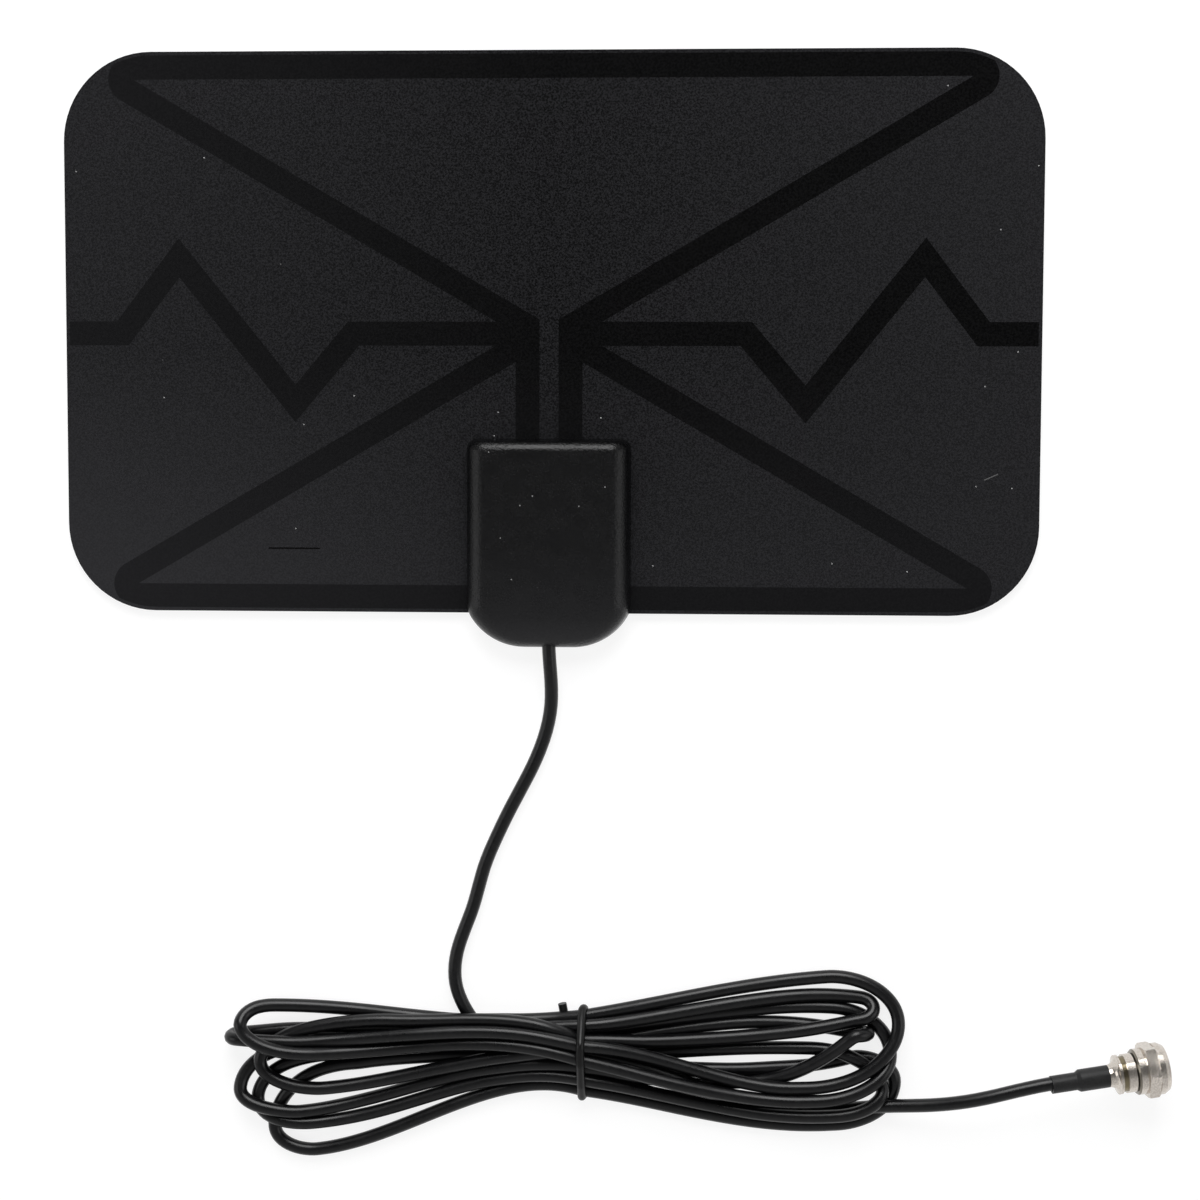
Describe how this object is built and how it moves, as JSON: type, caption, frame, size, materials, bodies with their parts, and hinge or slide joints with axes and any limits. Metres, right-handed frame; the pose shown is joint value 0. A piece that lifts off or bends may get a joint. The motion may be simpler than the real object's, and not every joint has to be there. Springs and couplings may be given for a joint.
{
  "type": "indoor tv antenna",
  "caption": "Flat sheet antenna with a foil element, a small clamped matching box and a tied coaxial lead ending in a screw-on plug.",
  "frame": {"origin": "middle of the underside of the sheet and box together, on the surface that the antenna lies on", "axes": "+X along the sheet's long side, +Y up its face away from the lead, +Z out of its front face"},
  "size_m": [0.2503, 0.2521, 0.0132],
  "materials": {
    "sheet_plastic": "matte, fine grain",
    "foil_black": "matte black",
    "housing_plastic": "satin, fine texture",
    "board_laminate": "satin",
    "ferrite": "matte",
    "copper": "bright",
    "white_plastic": "satin",
    "cord_jacket": "satin",
    "tie_plastic": "satin",
    "sleeve_plastic": "satin",
    "nickel": "satin nickel plate"
  },
  "bodies": {
    "antenna": {"panel_sheet": "sheet_plastic", "radiating_element": "foil_black", "housing_front_cover": "housing_plastic", "housing_rear_cover": "housing_plastic", "matching_board": "board_laminate", "left_feed_rivet": "nickel", "right_feed_rivet": "nickel", "balun_core": "ferrite", "balun_primary_winding": "copper", "balun_secondary_winding": "copper", "coax_dielectric": "white_plastic", "coax_core": "copper", "braid_pigtail": "copper", "cord_drop": "cord_jacket", "cord_hank": "cord_jacket", "hank_tie": "tie_plastic", "cord_tail": "cord_jacket", "heat_shrink_sleeve": "sleeve_plastic", "crimp_ferrule": "nickel", "connector_body": "nickel", "connector_insulator": "white_plastic", "centre_pin": "copper"},
    "nut": {"coupling_nut": "nickel"}
  },
  "joints": [
    {"name": "nut_spin", "type": "hinge", "parent": "antenna", "child": "nut", "pos_m": [0.1358, -0.16081, 0.00672], "axis": [0.9803, 0.1308, -0.1478], "continuous": true}
  ]
}
